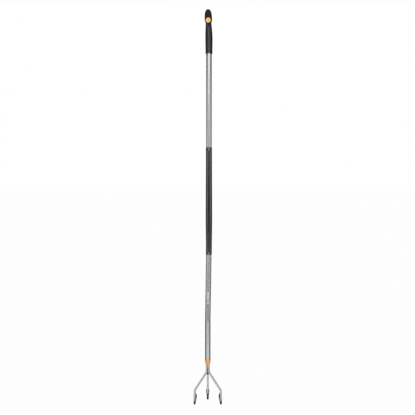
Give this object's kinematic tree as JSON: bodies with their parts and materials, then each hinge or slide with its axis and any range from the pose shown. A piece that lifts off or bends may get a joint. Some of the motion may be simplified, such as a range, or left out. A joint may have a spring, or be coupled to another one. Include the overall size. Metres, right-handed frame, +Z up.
{
  "type": "three-tine hand cultivator",
  "caption": "Long-handled cultivator: S-bent round tube shaft, oval grip with a soft knob, mid-shaft sleeve, and forged hooked tines held in a domed end plug.",
  "frame": {"origin": "middle of the tool's footprint (its bounding box seen from above), level with the lowest point of the outer tines", "axes": "+Z up along the shaft to the knob, +Y the way the tine blades point, +X to the right with the blades pointing away"},
  "size_m": [0.1202, 0.1147, 1.6071],
  "materials": {
    "shaft_metal": "satin anodised, drawn tube",
    "sleeve_plastic": "satin black sleeve",
    "handle_plastic": "satin black moulded",
    "knob_rubber": "matte charcoal soft grip",
    "orange_plastic": "gloss orange moulded",
    "tine_steel": "grey coated steel, worn dark at the blades",
    "weld_steel": "dark weld bead",
    "rivet_metal": "plain"
  },
  "bodies": {
    "root": {"shaft_tube": "shaft_metal", "grip_sleeve": "sleeve_plastic", "handle_body": "handle_plastic", "handle_knob": "knob_rubber", "badge": "orange_plastic", "handle_rivet": "rivet_metal", "head_plug": "orange_plastic", "head_rivet": "rivet_metal", "tine_left": "tine_steel", "tine_centre": "tine_steel", "tine_right": "tine_steel", "neck_weld": "weld_steel"}
  },
  "joints": []
}
